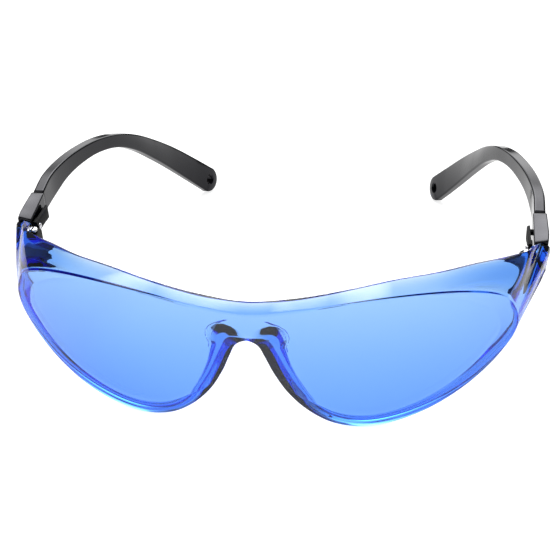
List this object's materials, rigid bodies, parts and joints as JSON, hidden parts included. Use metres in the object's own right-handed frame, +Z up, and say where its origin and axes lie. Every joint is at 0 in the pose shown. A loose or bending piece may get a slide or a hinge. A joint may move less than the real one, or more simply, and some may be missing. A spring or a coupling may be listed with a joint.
{
  "type": "safety glasses",
  "caption": "Wraparound safety glasses: a one-piece tinted shield with a nose arch, on folding temples that slide to adjust their length and hook behind the ears.",
  "frame": {"origin": "centre of the plan at the surface the glasses rest on", "axes": "+X to the viewer's right as seen from the front, +Y from the shield back to the ear tips, +Z up off the resting surface"},
  "size_m": [0.1448, 0.1588, 0.0409],
  "materials": {
    "blue_polycarbonate": "clear gloss, tinted through",
    "black_nylon": "moulded gloss",
    "steel": "nickel plated"
  },
  "bodies": {
    "front": {"lens_shield": "blue_polycarbonate", "left_hinge_block": "black_nylon", "left_hinge_screw": "steel", "right_hinge_block": "black_nylon", "right_hinge_screw": "steel"},
    "left_temple": {"left_temple_sleeve": "black_nylon", "left_length_latch": "black_nylon", "left_latch_rivet": "steel"},
    "left_arm": {"left_temple_arm": "black_nylon"},
    "right_temple": {"right_temple_sleeve": "black_nylon", "right_length_latch": "black_nylon", "right_latch_rivet": "steel"},
    "right_arm": {"right_temple_arm": "black_nylon"}
  },
  "joints": [
    {"name": "left_fold", "type": "hinge", "parent": "front", "child": "left_temple", "pos_m": [-0.067, -0.03624, 0.0328], "axis": [0, 0.112, -0.9937], "range_deg": [0, 82]},
    {"name": "left_length", "type": "slide", "parent": "left_temple", "child": "left_arm", "axis": [0, 0.9937, 0.112], "range_m": [0, 0.004]},
    {"name": "right_fold", "type": "hinge", "parent": "front", "child": "right_temple", "pos_m": [0.067, -0.03624, 0.0328], "axis": [0, -0.112, 0.9937], "range_deg": [0, 94]},
    {"name": "right_length", "type": "slide", "parent": "right_temple", "child": "right_arm", "axis": [0, 0.9937, 0.112], "range_m": [0, 0.004]}
  ]
}
